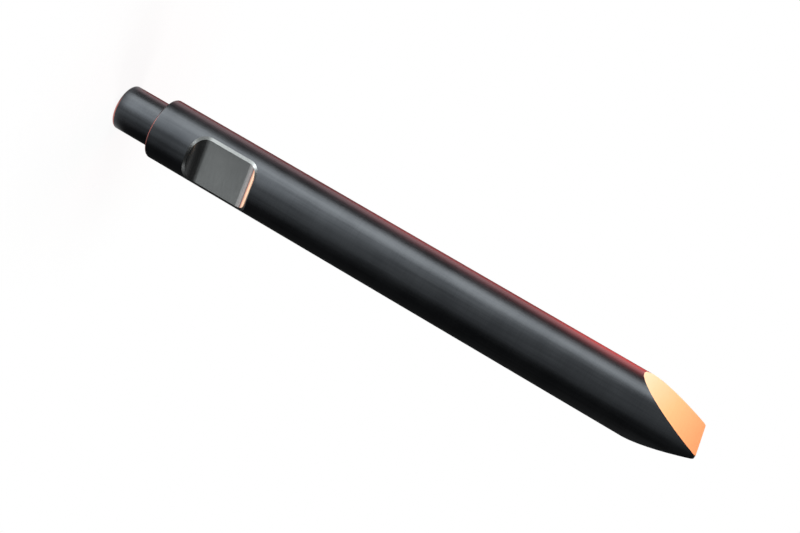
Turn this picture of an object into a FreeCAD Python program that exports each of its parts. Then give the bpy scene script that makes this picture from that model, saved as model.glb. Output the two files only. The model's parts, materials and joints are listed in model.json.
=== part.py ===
import FreeCAD, Part
import os
import Sketcher

# Hydraulic breaker chisel: one forged and turned steel bar.
# +Z runs up the bar from the striking face to the cutting edge, the origin is
# the centre of the striking face, and the retaining slot faces -Y. The cutting
# edge runs along Y, square to the slot's flat, and the wedge faces look to -X and +X.

SIZES = [
    ("total_length", 1400.0),       # striking face to cutting edge
    ("shank_diameter", 140.0),      # the working bar that runs in the bushes
    ("stub_diameter", 103.0),       # reduced end that the piston strikes
    ("stub_length", 100.0),         # striking face to shoulder
    ("stub_edge_radius", 6.0),      # rounded edge of the striking face
    ("shoulder_edge_radius", 4.0),  # rounded edge of the shank at the shoulder
    ("root_radius", 3.0),           # fillet in the corner under the shoulder
    ("slot_start", 230.0),          # striking face to the near end of the slot's flat
    ("slot_flat_length", 95.0),     # flat part of the slot, between its curved ends
    ("slot_depth", 29.0),           # shank surface to the flat
    ("slot_end_radius", 30.0),      # radius the milling cutter leaves at both ends
    ("slot_rim_chamfer", 4.0),      # broken edge all round the slot
    ("wedge_length", 162.0),        # cutting edge back to where the faces run out
    ("edge_thickness", 7.5),        # width of the blunt cutting edge
    ("tip_corner_radius", 6.0),     # rounded outer rim of the tip end
]

doc = FreeCAD.newDocument("breaker_chisel")
sheet = doc.addObject("Spreadsheet::Sheet", "sizes")
for row, (name, value) in enumerate(SIZES, start=1):
    sheet.set("A%d" % row, name)
    sheet.set("B%d" % row, str(value))
    sheet.setAlias("B%d" % row, name)
doc.recompute()
size = {name: float(sheet.get(name)) for name, value in SIZES}

shank_r = size["shank_diameter"] / 2
stub_r = size["stub_diameter"] / 2
floor_y = shank_r - size["slot_depth"]
slot_z0 = size["slot_start"]
slot_z1 = slot_z0 + size["slot_flat_length"]
top = size["total_length"]

body = doc.addObject("PartDesign::Body", "chisel")
body.Label = "chisel"
body.Placement = FreeCAD.Placement()


def origin_plane(role):
    return [f for f in body.Origin.OriginFeatures if f.Role == role][0]


def new_sketch(name, role):
    made = body.newObject("Sketcher::SketchObject", name)
    made.AttachmentSupport = [(origin_plane(role), "")]
    made.MapMode = "FlatFace"
    return made


def line(sketch, start, end, construction=False):
    segment = Part.LineSegment(FreeCAD.Vector(start[0], start[1], 0), FreeCAD.Vector(end[0], end[1], 0))
    return sketch.addGeometry(segment, construction)


def arc(sketch, centre, radius, from_degrees, to_degrees):
    circle = Part.Circle(FreeCAD.Vector(centre[0], centre[1], 0), FreeCAD.Vector(0, 0, 1), radius)
    turn = 3.141592653589793 / 180
    return sketch.addGeometry(Part.ArcOfCircle(circle, from_degrees * turn, to_degrees * turn), False)


def rule(sketch, kind, *refs):
    return sketch.addConstraint(Sketcher.Constraint(kind, *refs))


def drive(sketch, kind, refs, value, name, expression):
    # a dimension that takes its value from the sheet
    number = sketch.addConstraint(Sketcher.Constraint(kind, *refs, value))
    sketch.renameConstraint(number, name)
    sketch.setExpression("Constraints." + name, expression)


def closed(sketch):
    # every sketch has to solve with nothing left free
    doc.recompute()
    if sketch.solve() != 0 or not sketch.FullyConstrained:
        raise RuntimeError("sketch %s is not fully constrained" % sketch.Name)


# The turned blank, as half of its lengthwise section.
edge = size["stub_edge_radius"]
step = size["shoulder_edge_radius"]
root = size["root_radius"]
nose = size["tip_corner_radius"]
shoulder = size["stub_length"]
profile = new_sketch("blank_profile", "XZ_Plane")
face = line(profile, (0, 0), (stub_r - edge, 0))
face_arc = arc(profile, (stub_r - edge, edge), edge, 270, 360)
stub_side = line(profile, (stub_r, edge), (stub_r, shoulder - root))
root_arc = arc(profile, (stub_r + root, shoulder - root), root, 90, 180)
ledge = line(profile, (stub_r + root, shoulder), (shank_r - step, shoulder))
ledge_arc = arc(profile, (shank_r - step, shoulder + step), step, 270, 360)
shank_side = line(profile, (shank_r, shoulder + step), (shank_r, top - nose))
nose_arc = arc(profile, (shank_r - nose, top - nose), nose, 0, 90)
tip_end = line(profile, (shank_r - nose, top), (0, top))
axis_line = line(profile, (0, top), (0, 0))
rule(profile, "Coincident", face, 1, -1, 1)
rule(profile, "Tangent", face, 2, face_arc, 1)
rule(profile, "Tangent", face_arc, 2, stub_side, 1)
rule(profile, "Tangent", stub_side, 2, root_arc, 2)
rule(profile, "Tangent", root_arc, 1, ledge, 1)
rule(profile, "Tangent", ledge, 2, ledge_arc, 1)
rule(profile, "Tangent", ledge_arc, 2, shank_side, 1)
rule(profile, "Tangent", shank_side, 2, nose_arc, 1)
rule(profile, "Tangent", nose_arc, 2, tip_end, 1)
rule(profile, "Coincident", tip_end, 2, axis_line, 1)
rule(profile, "Coincident", axis_line, 2, face, 1)
rule(profile, "Horizontal", face)
rule(profile, "Vertical", stub_side)
rule(profile, "Horizontal", ledge)
rule(profile, "Vertical", shank_side)
rule(profile, "Horizontal", tip_end)
rule(profile, "Vertical", axis_line)
drive(profile, "DistanceX", (-1, 1, stub_side, 1), stub_r, "stub_radius", "sizes.stub_diameter / 2")
drive(profile, "DistanceY", (-1, 1, ledge, 1), shoulder, "shoulder", "sizes.stub_length")
drive(profile, "DistanceX", (-1, 1, shank_side, 1), shank_r, "shank_radius", "sizes.shank_diameter / 2")
drive(profile, "DistanceY", (-1, 1, tip_end, 2), top, "top", "sizes.total_length")
drive(profile, "Radius", (face_arc,), edge, "face_edge", "sizes.stub_edge_radius")
drive(profile, "Radius", (root_arc,), root, "root", "sizes.root_radius")
drive(profile, "Radius", (ledge_arc,), step, "ledge_edge", "sizes.shoulder_edge_radius")
drive(profile, "Radius", (nose_arc,), nose, "nose", "sizes.tip_corner_radius")
closed(profile)
blank = body.newObject("PartDesign::Revolution", "turned_blank")
blank.Profile = profile
blank.ReferenceAxis = (profile, ["V_Axis"])
blank.Angle = 360
doc.recompute()

# The retaining slot: a flat with concave ends as wide as the cutter, milled straight
# across the shank along X. The profile closes outside the shank.
radius = size["slot_end_radius"]
arc_y = -(floor_y + radius)
outside = -(shank_r + radius)
slot = new_sketch("slot_profile", "YZ_Plane")
flat = line(slot, (-floor_y, slot_z0), (-floor_y, slot_z1))
upper_end = arc(slot, (arc_y, slot_z1), radius, 0, 90)
upper_run = line(slot, (arc_y, slot_z1 + radius), (outside, slot_z1 + radius))
back = line(slot, (outside, slot_z1 + radius), (outside, slot_z0 - radius))
lower_run = line(slot, (outside, slot_z0 - radius), (arc_y, slot_z0 - radius))
lower_end = arc(slot, (arc_y, slot_z0), radius, 270, 360)
rule(slot, "Tangent", flat, 2, upper_end, 1)
rule(slot, "Tangent", upper_end, 2, upper_run, 1)
rule(slot, "Coincident", upper_run, 2, back, 1)
rule(slot, "Coincident", back, 2, lower_run, 1)
rule(slot, "Tangent", lower_run, 2, lower_end, 1)
rule(slot, "Tangent", lower_end, 2, flat, 1)
rule(slot, "Vertical", flat)
rule(slot, "Horizontal", upper_run)
rule(slot, "Vertical", back)
rule(slot, "Horizontal", lower_run)
rule(slot, "Equal", upper_end, lower_end)
drive(slot, "DistanceX", (flat, 1, -1, 1), floor_y, "floor", "sizes.shank_diameter / 2 - sizes.slot_depth")
drive(slot, "DistanceY", (-1, 1, flat, 1), slot_z0, "start", "sizes.slot_start")
drive(slot, "DistanceY", (flat, 1, flat, 2), slot_z1 - slot_z0, "flat_length", "sizes.slot_flat_length")
drive(slot, "Radius", (upper_end,), radius, "end_radius", "sizes.slot_end_radius")
drive(slot, "DistanceX", (back, 1, -1, 1), -outside, "outside", "sizes.shank_diameter / 2 + sizes.slot_end_radius")
closed(slot)
before = blank.Shape.Volume
milled = body.newObject("PartDesign::Pocket", "retaining_slot")
milled.Profile = slot
milled.Type = "ThroughAll"
milled.SideType = "Symmetric"
doc.recompute()
if milled.Shape.Volume > before - 1:
    raise RuntimeError("the slot cuts nothing")


def on_slot_rim(candidate):
    # an edge of the slot that lies on the shank's surface all along
    low, high = candidate.ParameterRange
    for share in (0.1, 0.5, 0.9):
        point = candidate.valueAt(low + (high - low) * share)
        if abs((point.x ** 2 + point.y ** 2) ** 0.5 - shank_r) > 0.01:
            return False
        if not slot_z0 - radius - 0.01 <= point.z <= slot_z1 + radius + 0.01:
            return False
    return True


rim = ["Edge%d" % number for number, found in enumerate(milled.Shape.Edges, start=1) if on_slot_rim(found)]
broken = body.newObject("PartDesign::Chamfer", "slot_rim")
broken.Base = (milled, rim)
broken.Size = size["slot_rim_chamfer"]
broken.setExpression("Size", "sizes.slot_rim_chamfer")
doc.recompute()

# The two wedge faces, milled from the blunt edge back to where they run out of the shank.
half_edge = size["edge_thickness"] / 2
run_out = top - size["wedge_length"]
slope = size["wedge_length"] / (shank_r - half_edge)
wide = shank_r + half_edge
foot = top - slope * (wide - half_edge)
above = top + nose
wedge = new_sketch("wedge_profile", "XZ_Plane")
sides = []
for sign in (1, -1):
    sloping = line(wedge, (sign * half_edge, top), (sign * wide, foot))
    outer = line(wedge, (sign * wide, foot), (sign * wide, above))
    cover = line(wedge, (sign * wide, above), (sign * half_edge, above))
    inner = line(wedge, (sign * half_edge, above), (sign * half_edge, top))
    rule(wedge, "Coincident", sloping, 2, outer, 1)
    rule(wedge, "Coincident", outer, 2, cover, 1)
    rule(wedge, "Coincident", cover, 2, inner, 1)
    rule(wedge, "Coincident", inner, 2, sloping, 1)
    rule(wedge, "Vertical", outer)
    rule(wedge, "Horizontal", cover)
    rule(wedge, "Vertical", inner)
    sides.append((sloping, outer, cover))
run_out_point = wedge.addGeometry(Part.Point(FreeCAD.Vector(shank_r, run_out, 0)), True)
right, left = sides
rule(wedge, "PointOnObject", run_out_point, 1, right[0])
drive(wedge, "DistanceX", (-1, 1, run_out_point, 1), shank_r, "shank_radius", "sizes.shank_diameter / 2")
drive(wedge, "DistanceY", (-1, 1, run_out_point, 1), run_out, "run_out", "sizes.total_length - sizes.wedge_length")
drive(wedge, "DistanceX", (-1, 1, right[0], 1), half_edge, "half_edge", "sizes.edge_thickness / 2")
drive(wedge, "DistanceY", (-1, 1, right[0], 1), top, "top", "sizes.total_length")
drive(wedge, "DistanceX", (-1, 1, right[1], 1), wide, "wide", "(sizes.shank_diameter + sizes.edge_thickness) / 2")
drive(wedge, "DistanceY", (-1, 1, right[2], 1), above, "above", "sizes.total_length + sizes.tip_corner_radius")
rule(wedge, "Symmetric", right[0], 1, left[0], 1, -2)
rule(wedge, "Symmetric", right[0], 2, left[0], 2, -2)
rule(wedge, "Horizontal", right[2], 1, left[2], 1)
closed(wedge)
before = broken.Shape.Volume
point = body.newObject("PartDesign::Pocket", "wedge_faces")
point.Profile = wedge
point.Type = "ThroughAll"
point.SideType = "Symmetric"
doc.recompute()
if point.Shape.Volume > before - 1:
    raise RuntimeError("the wedge cuts nothing")
body.Tip = point
doc.recompute()

for made in doc.Objects:
    if "Invalid" in made.State or "Error" in made.State:
        raise RuntimeError("%s did not compute: %s" % (made.Name, made.State))
shape = body.Shape
if shape.isNull() or not shape.isValid() or len(shape.Solids) != 1:
    raise RuntimeError("the chisel is not one valid solid")

box = shape.optimalBoundingBox()
print("rim edges", len(rim))
print("size %.2f x %.2f x %.2f mm, from z %.3f" % (box.XLength, box.YLength, box.ZLength, box.ZMin))
print("volume %.4f litres, steel %.1f kg" % (shape.Volume / 1e6, shape.Volume * 7.85e-6))

os.makedirs("parts", exist_ok=True)
shape.exportStep("parts/%s.step" % body.Label)
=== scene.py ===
# %% [markdown]
# # A hydraulic breaker chisel
# The part is one forged, turned and milled steel bar: a stub that the piston strikes, a long
# round shank with one milled retaining slot, and a two-sided wedge point. The imported CAD solid
# comes in as the frame, in metres, standing on its striking face with the point upwards. Its
# shape is already right, so it stays as it is, and this lesson gives it its finishes, its floor,
# its light and its camera. The box of the whole is kept at once.

# %% Load the frame
import json
import math

import bpy
from mathutils import Matrix, Vector


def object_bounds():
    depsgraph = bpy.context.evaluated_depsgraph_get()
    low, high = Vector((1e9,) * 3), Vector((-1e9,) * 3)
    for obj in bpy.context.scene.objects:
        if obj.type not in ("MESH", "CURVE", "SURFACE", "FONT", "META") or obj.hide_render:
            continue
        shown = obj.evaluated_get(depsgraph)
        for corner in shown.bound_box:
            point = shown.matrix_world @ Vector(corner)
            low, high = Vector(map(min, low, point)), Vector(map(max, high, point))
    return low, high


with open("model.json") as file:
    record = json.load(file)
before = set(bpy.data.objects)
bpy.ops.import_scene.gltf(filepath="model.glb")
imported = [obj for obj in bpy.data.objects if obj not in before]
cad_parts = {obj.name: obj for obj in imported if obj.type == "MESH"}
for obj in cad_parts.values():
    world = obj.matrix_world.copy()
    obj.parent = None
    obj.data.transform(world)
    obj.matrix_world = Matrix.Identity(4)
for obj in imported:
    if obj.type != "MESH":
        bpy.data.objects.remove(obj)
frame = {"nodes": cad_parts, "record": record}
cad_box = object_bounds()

chisel = frame["nodes"]["chisel"]

# %% [markdown]
# ## Sizes that the finishes need
# A finish changes where the bar was turned, milled or ground, so the shader has to know where
# that is. Painting the places by hand would do it too, but the bar's record already gives its
# mounts, and its box gives the length. The few sizes that neither holds are written here once:
# how high the shoulder is, how far the slot reaches either way from the middle of its flat, and
# how long the wedge is. All are in metres.

# %% Places on the bar
mounts = {mount["name"]: mount for mount in frame["record"]["mounts"]}
SHANK_RADIUS = mounts["shank"]["dims"]["r_mm"] / 1000
STUB_RADIUS = mounts["stub"]["dims"]["r_mm"] / 1000
SLOT_FLAT_Y, SLOT_MIDDLE = mounts["retaining_flat"]["pos_m"][1:]
BAR_LENGTH = round(cad_box[1][2], 4)
SHOULDER = 0.100
SLOT_REACH = 0.082
WEDGE_LENGTH = 0.162
WEDGE_START = BAR_LENGTH - WEDGE_LENGTH
print("shank", SHANK_RADIUS, "m and stub", STUB_RADIUS, "m in radius, bar", BAR_LENGTH, "m long")
print("slot over", 2 * SLOT_REACH, "m, wedge over", WEDGE_LENGTH, "m")

# %% [markdown]
# ## Arithmetic on shader sockets
# A shader is a chain of small sums. Written node by node they are hard to read, so a small class
# wraps an output socket and lets + - * / add the Math nodes. Every other node comes from `add`,
# which takes the node's type, its settings and what goes into its sockets.

# %% The wire class
RIDGE_HEIGHT = 0.0001


class Wire:
    """An output socket in a node tree, on which plain arithmetic adds Math nodes."""

    def __init__(self, tree, socket=None):
        self.tree = tree
        self.socket = socket

    def add(self, kind, settings=None, sockets=None, out=0):
        node = self.tree.nodes.new(kind)
        for name, value in (settings or {}).items():
            if name == "stops":
                ramp = node.color_ramp
                while len(ramp.elements) < len(value):
                    ramp.elements.new(0.5)
                for element, (place, colour) in zip(ramp.elements, value):
                    element.position = place
                    element.color = (*colour, 1)
            else:
                setattr(node, name, value)
        for name, value in (sockets or {}).items():
            if isinstance(value, Wire):
                self.tree.links.new(value.socket, node.inputs[name])
            else:
                node.inputs[name].default_value = value
        return Wire(self.tree, node.outputs[out] if node.outputs else None)

    def sum(self, operation, first, second=0.0):
        return self.add("ShaderNodeMath", {"operation": operation}, {0: first, 1: second})

    def __add__(self, other):
        return self.sum("ADD", self, other)

    def __sub__(self, other):
        return self.sum("SUBTRACT", self, other)

    def __rsub__(self, other):
        return self.sum("SUBTRACT", other, self)

    def __mul__(self, other):
        return self.sum("MULTIPLY", self, other)

    def __truediv__(self, other):
        return self.sum("DIVIDE", self, other)

    def __pow__(self, other):
        return self.sum("POWER", self, other)

    __radd__ = __add__
    __rmul__ = __mul__

    def size(self):
        return self.sum("ABSOLUTE", self)

    def either(self, other):
        """The larger of two masks."""
        return self.sum("MAXIMUM", self, other)

    def rise(self, low, high, bottom=0.0, top=1.0):
        """A smooth step from bottom to top while this value goes from low to high."""
        return self.add(
            "ShaderNodeMapRange",
            {"interpolation_type": "SMOOTHSTEP"},
            {"Value": self, "From Min": low, "From Max": high, "To Min": bottom, "To Max": top},
        )

    def above(self, limit, fade):
        """A mask that is 1 above the limit, with a soft edge that is fade wide."""
        return self.rise(limit - fade / 2, limit + fade / 2)

    def below(self, limit, fade):
        """A mask that is 1 below the limit, with a soft edge that is fade wide."""
        return self.rise(limit - fade / 2, limit + fade / 2, 1.0, 0.0)

    def cloud(self, scale=1.0, detail=3.0, roughness=0.5):
        """Noise on this vector, from 0 to 1 and mostly about 0.5."""
        return self.add(
            "ShaderNodeTexNoise",
            {"noise_dimensions": "3D"},
            {"Vector": self, "Scale": scale, "Detail": detail, "Roughness": roughness},
        )

    def blend(self, first, second):
        """The colour first where this mask is 0, and second where it is 1."""
        return self.add(
            "ShaderNodeMix",
            {"data_type": "RGBA"},
            {0: self, 6: (*first, 1), 7: (*second, 1)},
            out=2,
        )

    def tint(self, *colours):
        """These colours at even steps while this value goes from 0 to 1."""
        stops = [(i / (len(colours) - 1), colour) for i, colour in enumerate(colours)]
        return self.add("ShaderNodeValToRGB", {"stops": stops}, {0: self})

    def parts(self):
        return [self.add("ShaderNodeSeparateXYZ", None, {0: self}, out=i) for i in range(3)]

    def scaled(self, x, y, z):
        return self.add(
            "ShaderNodeVectorMath", {"operation": "MULTIPLY"}, {0: self, 1: (x, y, z)}
        )

    def rays(self, *kinds):
        """For each kind of ray a mask that is 1 for it."""
        return [self.add("ShaderNodeLightPath", out=f"Is {kind} Ray") for kind in kinds]

    def steel(self, base, metallic, roughness, specular=0.5, bump=None, strength=0.25):
        """A Principled surface, with a fine bump where one is given."""
        sockets = {
            "Base Color": base,
            "Metallic": metallic,
            "Roughness": roughness,
            "Specular IOR Level": specular,
        }
        if bump:
            ridges = {"Strength": strength, "Distance": RIDGE_HEIGHT, "Height": bump}
            sockets["Normal"] = self.add("ShaderNodeBump", None, ridges)
        return self.add("ShaderNodeBsdfPrincipled", None, sockets)

    def over(self, mask, under):
        """This surface where the mask is 1, and the one under it elsewhere."""
        return self.add("ShaderNodeMixShader", None, {0: mask, 1: under, 2: self})


def empty_tree(owner):
    """A wire in the node tree of a material or world, cleared of its first nodes."""
    owner.use_nodes = True
    owner.node_tree.nodes.clear()
    return Wire(owner.node_tree)


print("the class adds a node for each sign")

# %% [markdown]
# ## The finishes of the bar
# The bar is forged, turned and oil-blackened, which leaves a thin dark oxide with a satin sheen.
# The retaining slot is milled after that, so it is bare steel. The faces of the point are ground
# and hardened, and their straw-to-orange colour is a painted reflection of a warm light. Two
# rounded edges and one hollow wall of the slot carry painted reflections too. These could be
# separate materials on separate faces. Here one material tells the faces apart by their place and
# direction, so that the frame's mesh isn't touched. It starts with the coordinates that all the
# finishes share.

# %% A tree with the bar's own coordinates
coated = bpy.data.materials.new("blackened_steel")
start = empty_tree(coated)
place = start.add("ShaderNodeTexCoord", out="Object")
facing = start.add("ShaderNodeTexCoord", out="Normal")
x, y, z = place.parts()
nx, ny, nz = facing.parts()
radius = (x * x + y * y) ** 0.5
outward = (x * nx + y * ny) / radius
print("coordinates: place, direction, radius, and how far the surface looks away from the axis")

# %% [markdown]
# ### Where the slot and the ground faces lie
# On the turned shank the surface looks straight away from the axis, so `outward` is 1 there.
# Inside the slot it isn't, and the radius is smaller too, which tells the middle of the flat,
# where `outward` is 1 again, from the shank. A ground face looks sideways and upwards. Each mask
# has a soft edge, mostly about a millimetre wide, so that no finish ends in a jagged line.

# %% Masks of the slot and the point
EDGE = 0.001
SLOT_RIM_Y = SLOT_FLAT_Y + 0.016
CUT_DEPTH = 0.00105
within_slot = z.above(SLOT_MIDDLE - SLOT_REACH, EDGE) * z.below(SLOT_MIDDLE + SLOT_REACH, EDGE)
slot_side = y.below(SLOT_RIM_Y, 10 * EDGE)
cut_below = radius.below(SHANK_RADIUS - CUT_DEPTH, 0.9 * EDGE)
turned_away = outward.below(0.9735, 0.023)
milled = within_slot * slot_side * cut_below.either(turned_away)
ground = z.above(WEDGE_START - EDGE, 2 * EDGE) * nz.above(0.25, 0.10) * nx.size().above(0.87, 0.06)
print("masks for the slot and for the two faces of the point")

# %% [markdown]
# ### Where the edges get their painted red
# The rounded edges of the striking face and of the shoulder carry a red-brown colour, which is a
# painted reflection of a warm light from below. A band of height and radius picks each rounding
# out, and only its part that leans downwards gets it. It is strongest on one side of the bar,
# fades out towards the other side, and is a little ragged.

# %% Mask of the painted red on the edges
SHOULDER_RED_UP, SHOULDER_RED_IN = 0.0041, 0.0040
STUB_RED_UP, STUB_RED_IN = 0.0056, 0.0059
patches = place.cloud(9.0, 4.0, 0.55)
shoulder_edge = (
    z.above(SHOULDER - EDGE, EDGE)
    * z.below(SHOULDER + SHOULDER_RED_UP, EDGE)
    * radius.above(SHANK_RADIUS - SHOULDER_RED_IN, EDGE)
)
struck_edge = (
    z.below(STUB_RED_UP, 1.2 * EDGE)
    * radius.above(STUB_RADIUS - STUB_RED_IN, 1.2 * EDGE)
)
leans_down = nz.below(-0.165, 0.17)
reflecting_side = (x / radius).rise(-0.80, -0.25, 0.05, 1.0)
ragged = place.cloud(60.0, 3.0, 0.6).rise(0.25, 0.5, 0.7, 1.0)
# painted reflection: red-brown on the down-leaning part of the two rounded edges, stronger on one
# side
painted_red_reflection = shoulder_edge.either(struck_edge) * leans_down * reflecting_side * ragged
print("mask for the two rounded edges")

# %% [markdown]
# ### Blackened steel
# Turning leaves fine rings round the bar and round its end faces, so the rings follow the height
# on the shank and the radius on the ends: one sum, height plus radius, does both. Handling leaves
# faint lengthwise streaks in the oil finish, and the oxide's colour wanders over patches as large
# as a hand. All are noise, stretched along or across the axis, and they move the colour, the
# roughness and the bump a little. A picture of such a surface would be quicker to put on, but it
# would repeat, and it would have seams.

# %% Blackened steel
DARK_OXIDE, PALE_OXIDE = (0.042, 0.045, 0.050), (0.060, 0.064, 0.070)
RINGS_PER_METRE = 420.0
along_the_cut = (z + radius) * RINGS_PER_METRE
turning = start.add("ShaderNodeCombineXYZ", None, {"X": x * 2.0, "Y": y * 2.0, "Z": along_the_cut})
rings = turning.cloud(1.0, 4.0, 0.6)
streaks = place.scaled(160.0, 160.0, 5.0).cloud(1.0, 3.0, 0.55)
tone = patches * 0.5 + streaks * 0.3 + rings * 0.2
oxide = tone.rise(0.36, 0.64).blend(DARK_OXIDE, PALE_OXIDE)
satin = 0.35 + (patches - 0.5) * 0.10 + (streaks - 0.5) * 0.08 + (rings - 0.5) * 0.06
black = start.steel(oxide, 1.0, satin, bump=rings)
print("blackened steel: satin oxide with rings, streaks and patches")

# %% [markdown]
# ### Milled steel of the slot
# The cutter lay across the bar, which is why the ends of the slot are hollow, and its teeth left
# fine ridges across the flat. They are noise that is drawn out across the bar and tight along it.
# The steel is bare under a film of oil, so it is paler and smoother than the oxide round it. The
# bevel is filed, and the hollow wall nearer to the point is polished, so both are paler still.
# The bevel is the only milled surface that leans sideways, and only that wall looks downwards.

# %% Milled steel
MILLED, POLISHED = (0.190, 0.196, 0.198), (0.420, 0.435, 0.430)
SLIGHT = 0.12
mill_lines = place.scaled(30.0, 900.0, 900.0).cloud(1.0, 3.0, 0.6)
filed = nx.size().above(0.125, 0.15)
polished = nz.below(-0.115, 0.07) * (1.0 - filed)
shade = (patches * 0.5 + mill_lines * 0.5 + filed * 0.1).rise(0.36, 0.64) * 0.33
bare = (shade + polished * 0.8).blend(MILLED, POLISHED)
smooth = 0.22 + (mill_lines - 0.5) * 0.1 + filed * 0.06
milled_steel = start.steel(bare, 1.0, smooth, bump=mill_lines, strength=SLIGHT)
print("milled steel: pale, with the ridges of the cutter")

# %% [markdown]
# ### The painted streak on the hollow wall
# A warm streak lies along the hollow wall nearer to the point, brown where it begins and pale
# orange in its middle. It is a painted reflection of a warm light, put into the wall's own colour.
# A warm lamp would be the other way to make a streak, but seen from the camera this part of the
# wall mirrors the slot's own flat, so no lamp shows in it. The wall turns from the flat to the
# rim, so its own direction is the scale of the tint.

# %% Painted streak on the wall
WALL_FROM, WALL_TURN = 0.50, 0.44
STRIP_DEPTH = 0.003
wall_turn = (-WALL_FROM - nz) / WALL_TURN
# painted reflection: a warm streak put into the colour of the wall nearer to the point
painted_streak = (
    milled
    * wall_turn.above(0.06, 0.12)
    * wall_turn.below(0.925, 0.15)
    * radius.below(SHANK_RADIUS - STRIP_DEPTH, 1.6 * EDGE)
)
painted_streak_colour = (wall_turn + (mill_lines - 0.5) * 0.1).tint(
    (0.45, 0.22, 0.18),
    (0.70, 0.36, 0.26),
    (1.00, 0.74, 0.52),
    (0.84, 0.52, 0.33),
    (0.40, 0.22, 0.14),
)
painted_streak_steel = start.steel(painted_streak_colour, 0.0, 0.45, specular=0.3, bump=mill_lines, strength=SLIGHT)
print("heat-tinted strip on the wall nearer to the point")

# %% [markdown]
# ### Painted warm reflection on the point
# The ground faces are coloured from pale straw where they begin to a strong orange at the edge,
# which is a painted reflection of a warm light. The colour hides the metal's own shine, so this
# finish isn't metallic. A colour ramp runs along the face, slightly askew, and the grinding lines,
# which run parallel to the cutting edge, carry it to and fro a little.

# %% Painted warm reflection on the point
ASKEW = 0.136
grinding = place.scaled(20.0, 20.0, 700.0).cloud(1.0, 3.0, 0.6)
along = (z - y * ASKEW - WEDGE_START) / WEDGE_LENGTH
along = along + (grinding - 0.5) * 0.10 + (patches - 0.5) * 0.12
# painted reflection: the straw-to-orange ramp stands in for a warm light mirrored in the ground
# faces
warm_reflection = along.tint(
    (0.86, 0.75, 0.48),
    (0.86, 0.63, 0.34),
    (0.86, 0.53, 0.23),
    (0.86, 0.44, 0.18),
    (0.84, 0.36, 0.14),
)
point_steel = start.steel(warm_reflection, 0.0, 0.5 + (grinding - 0.5) * 0.2, specular=0.2, bump=grinding)
print("heat colours from straw to orange over the ground faces")

# %% [markdown]
# ### Painted red on the rounded edges
# The red-brown here is a painted reflection of a warm light. Under it the steel is metallic, and
# rougher than the oxide beside it.

# %% Painted red
# painted reflection: the red-brown colours of the rounded edges
reflection_red = patches.rise(0.3, 0.7).blend((0.42, 0.14, 0.13), (0.54, 0.20, 0.17))
red_reflection_steel = start.steel(reflection_red, 1.0, 0.45)
print("rust-brown steel for the worn edges")

# %% [markdown]
# ### The finishes together
# Mix Shaders lay one finish over another where its mask is 1, and the material goes into the
# chisel's own slot.

# %% Put the finishes together
whole = black
for finish, mask in (
    # painted reflections: the red on the edges, the streak on the wall and the colour of the point
    (red_reflection_steel, painted_red_reflection),
    (milled_steel, milled),
    (painted_streak_steel, painted_streak),
    (point_steel, ground),
):
    whole = finish.over(mask, whole)
start.add("ShaderNodeOutputMaterial", None, {"Surface": whole})
chisel.data.materials[0] = coated
print("nodes in the finish:", len(coated.node_tree.nodes))

# %% [markdown]
# ## The camera
# The bar stands upright, and the photograph shows it lying across the frame, so the camera looks
# at the bar's middle from a little above and is rolled. A tracking constraint would aim it, but
# it would undo the roll. So a short function works out the place and turn from the spot, the aim
# and the roll, and the lamps use it too.

# %% Camera
CAMERA_SPOT = Vector((-1.18633, -2.25539, 1.1305))
CAMERA_AIM = Vector((0, 0, 0.6997))
CAMERA_ROLL = 120.303
CAMERA_LENS = 55.863


def looking(spot, aim, roll=0.0):
    """The place and turn of what stands at spot, looks at aim and is rolled by degrees."""
    upright = (spot - aim).to_track_quat("Z", "Y").to_matrix()
    turned = upright @ Matrix.Rotation(math.radians(roll), 3, "Z")
    return Matrix.Translation(spot) @ turned.to_4x4()


camera = bpy.data.objects.new("camera", bpy.data.cameras.new("camera"))
bpy.context.scene.collection.objects.link(camera)
camera.data.lens = CAMERA_LENS
camera.matrix_world = looking(CAMERA_SPOT, CAMERA_AIM, CAMERA_ROLL)
bpy.context.scene.camera = camera
print("camera", round(CAMERA_SPOT.length, 3), "m from the foot of the bar")

# %% [markdown]
# ## Soft boxes
# A round black bar shows its studio as stripes, so each stripe in the photograph is a soft box
# at its own side of the bar, which mirrors a box that stands at twice the angle of the stripe. A
# picture of a studio round the world would give stripes too, but boxes can be moved one by one.
# They are area lamps, upright and square to the bar's axis. Their radiance is what a mirror
# would show, and the lamp's power follows from that and from its size.

# %% Upright soft boxes
CAMERA_SIDE = 27.7
NEUTRAL = (0.97, 1.0, 1.0)


def lamp_holder(name, width, height, radiance, colour):
    """A rectangular area lamp that the camera doesn't see, as bright as radiance says."""
    lamp = bpy.data.lights.new(name, "AREA")
    lamp.shape = "RECTANGLE"
    lamp.size, lamp.size_y = width, height
    lamp.energy = radiance * math.pi * width * height
    lamp.color = colour
    holder = bpy.data.objects.new(name, lamp)
    bpy.context.scene.collection.objects.link(holder)
    holder.visible_camera = False
    print(name, width, "x", round(height, 2), "m, radiance", radiance)
    return holder


def soft_box(name, side, low, high, width, distance, radiance, colour=NEUTRAL):
    """An upright box, side degrees round from the camera, between two heights."""
    angle = math.radians(CAMERA_SIDE + side)
    middle = Vector((0, 0, (low + high) / 2))
    spot = middle - Vector((math.sin(angle), math.cos(angle), 0)) * distance
    holder = lamp_holder(name, width, high - low, radiance, colour)
    holder.matrix_world = looking(spot, middle)


print("sides count from the camera,", CAMERA_SIDE, "degrees round from the slot's flat")

# %% [markdown]
# ### The broad stripe
# The key box makes the broad pale stripe, and the boxes beside it the grey slope towards the
# middle of the bar. The camera looks down on the foot, which mirrors what stands lower, so the
# boxes for the foot reach far below the floor. The low box is in two parts, since the slot's flat
# mirrors the upper part to an eye at the bar's other side and would turn white there if the
# whole box were strong.

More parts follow.
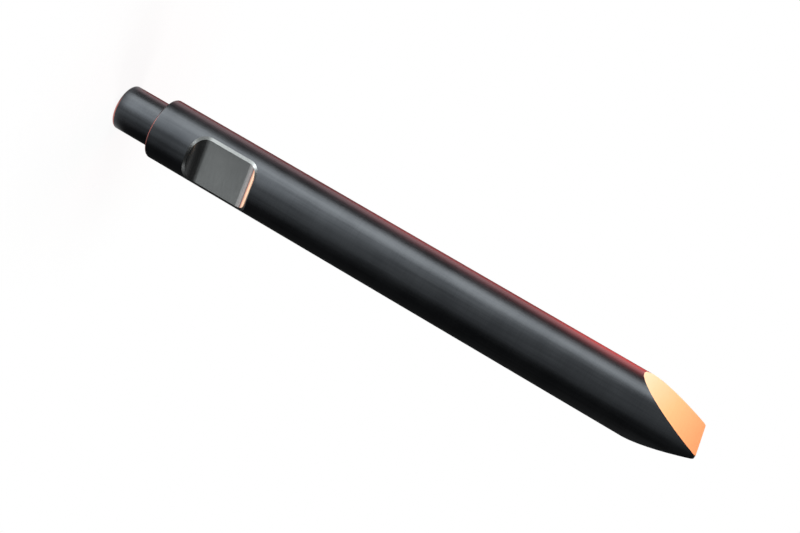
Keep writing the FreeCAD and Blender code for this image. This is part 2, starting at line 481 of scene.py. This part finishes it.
# %% Boxes of the broad stripe
soft_box("key_strip", 56, -1.6, 1.9, 1.02, 1.8, 5.0, (0.98, 1.0, 0.98))
soft_box("low_box", 19.5, -1.12, -0.1, 1.42, 1.8, 2.3)
soft_box("lowest_box", 20.5, -2.3, -1.12, 1.42, 1.8, 8.8)
soft_box("middle_box", 27, -0.1, 1.0, 0.95, 1.8, 0.83)

# %% [markdown]
# ### The dark side and the slot
# Past its middle the bar fades to black. One wide, weak wall in front gives the fade, and a small
# box low down goes on with it at the foot. The slot's flat mirrors the side box, and the hollow
# wall nearer to the striking face the box above that. The other hollow wall looks downwards, so
# it mirrors the two boxes that stand far below, the lowest of them a little rosy.

# %% Boxes of the dark side
soft_box("fill_wall", -4, -1.5, 1.8, 3.6, 2.2, 0.58)
soft_box("low_fill", -30, -1.4, -0.2, 0.75, 2.1, 0.55)
soft_box("side_box", -56, -0.30, 0.08, 0.27, 1.2, 0.75)
soft_box("side_box_above", -56, 0.08, 0.42, 0.30, 1.2, 0.22)
soft_box("low_side_box", -64, -3.1, -1.33, 0.85, 3.0, 0.78, (1.0, 0.98, 1.0))
soft_box("lowest_side_box", -78, -6.0, -2.9, 1.3, 3.0, 0.85, (1.0, 0.84, 0.84))

# %% [markdown]
# ### The rim and its red line
# Beyond the broad stripe the bar is dark once more, and then it has a grey rim with a red line
# in it. The rim is a strip behind the bar, and the red line three red panels beside that, one
# above the other, because the line grows stronger towards the point.

# %% Boxes of the rim
RED = (1.0, 0.08, 0.07)
soft_box("rim_strip", 123, -1.2, 2.0, 0.8, 1.8, 1.3, (1.0, 0.97, 1.0))
soft_box("red_panel", 130, 1.0, 2.3, 1.6, 1.7, 3.3, RED)
soft_box("middle_red_panel", 131, 0.2, 1.0, 1.5, 1.7, 1.35, RED)
soft_box("low_red_panel", 134, -0.9, 0.2, 1.4, 1.7, 0.6, RED)

# %% [markdown]
# ## Two aimed lamps
# The bevel at the slot's end nearer to the striking face leans upwards, and it catches a lamp
# from high up in front. The second ground face looks away from the camera, and it needs a lamp
# of its own, high up at the side, where the round shank doesn't mirror it into the photograph.
# Both are turned towards a point on the bar.


# %% Aimed lamps
def aimed_box(name, spot, aim, width, height, radiance, colour=NEUTRAL):
    """A box at spot that faces the point aim."""
    holder = lamp_holder(name, width, height, radiance, colour)
    holder.matrix_world = looking(Vector(spot), Vector(aim))


aimed_box("high_box", (-0.77, -2.27, 2.4), (0.0, -0.06, 0.2), 0.65, 0.65, 3.3)
aimed_box("far_side_box", (6.0, 0.9, 5.2), (0.0, 0.0, 1.32), 2.6, 2.0, 22.0, (1.0, 1.0, 1.0))

# %% [markdown]
# ## The world
# The camera sees plain white behind the bar. So does glossy steel, but only in the direction
# that the photograph looks in: everywhere else the studio is a dim room, lighter only straight
# below, which is why the bar stays black between its stripes. Plain light from the world fills
# the shadows of matt surfaces. The Light Path node tells these kinds of ray apart, so the white
# needs no lamp at all.

# %% World
ROOM, BELOW, PLAIN = 0.035, 0.15, 0.22
WHITE_FROM, WHITE_TO = (math.cos(math.radians(degrees)) for degrees in (15, 6))
world = bpy.data.worlds.new("studio")
bpy.context.scene.world = world
sky = empty_tree(world)
way = sky.add("ShaderNodeTexCoord", out="Generated")
ahead = tuple((CAMERA_AIM - CAMERA_SPOT).normalized())
looked_along = sky.add(
    "ShaderNodeVectorMath", {"operation": "DOT_PRODUCT"}, {0: way, 1: ahead}, out="Value"
)
sheet = looked_along.rise(WHITE_FROM, WHITE_TO)
downwards = way.parts()[2].rise(-0.9, -0.5, 1.0, 0.0)
mirrored_room = ROOM + sheet * (1 - ROOM) + downwards * BELOW
camera_ray, glossy, glassy, matt_ray = sky.rays("Camera", "Glossy", "Transmission", "Diffuse")
strength = camera_ray + glassy + glossy * mirrored_room + matt_ray * PLAIN
background = sky.add("ShaderNodeBackground", None, {"Color": (1, 1, 1, 1), "Strength": strength})
sky.add("ShaderNodeOutputWorld", None, {"Surface": background})
print("white for the camera, a room of", ROOM, "for gloss, plain light of", PLAIN)

# %% [markdown]
# ## The floor
# The bar stands on a pale sheet that fades into the white behind it, so no edge of it shows. A
# large plane would do, but its far edge would be mirrored in the bar. This is a disc, pale and
# matt, lifted to white for the camera, and with enough of the matt left to keep the shadow.
# Light and reflections pass it except close to the foot.

# %% Floor
FLOOR_RADIUS = 0.50
KEPT_SHADOW = 0.1
bpy.ops.object.select_all(action="DESELECT")
bpy.ops.mesh.primitive_circle_add(vertices=96, radius=FLOOR_RADIUS, fill_type="NGON")
floor = bpy.context.object
floor.name = "floor"
pale = bpy.data.materials.new("pale_floor")
table = empty_tree(pale)
fx, fy = table.add("ShaderNodeTexCoord", out="Object").parts()[:2]
from_foot = (fx * fx + fy * fy) ** 0.5
camera_ray, glossy, glassy, shadow = table.rays("Camera", "Glossy", "Transmission", "Shadow")
wide = from_foot.rise(0.08, FLOOR_RADIUS)
near = from_foot.rise(0.052, 0.10)
clear_part = wide + (near - wide) * (glossy + shadow)
white_part = (camera_ray + glossy + glassy) * (1 - KEPT_SHADOW)
glow = table.add("ShaderNodeEmission", None, {"Color": (1, 1, 1, 1), "Strength": 1.0})
matt = table.add("ShaderNodeBsdfDiffuse", None, {"Color": (0.85, 0.85, 0.85, 1)})
clear = table.add("ShaderNodeBsdfTransparent")
fading = clear.over(clear_part, glow.over(white_part, matt))
table.add("ShaderNodeOutputMaterial", None, {"Surface": fading})
floor.data.materials.append(pale)
print("floor of", FLOOR_RADIUS, "m radius, fading outwards")

# %% [markdown]
# ## Plain colours
# The Standard view transform shows each colour as it is written.

# %% View settings
bpy.context.scene.view_settings.view_transform = "Standard"
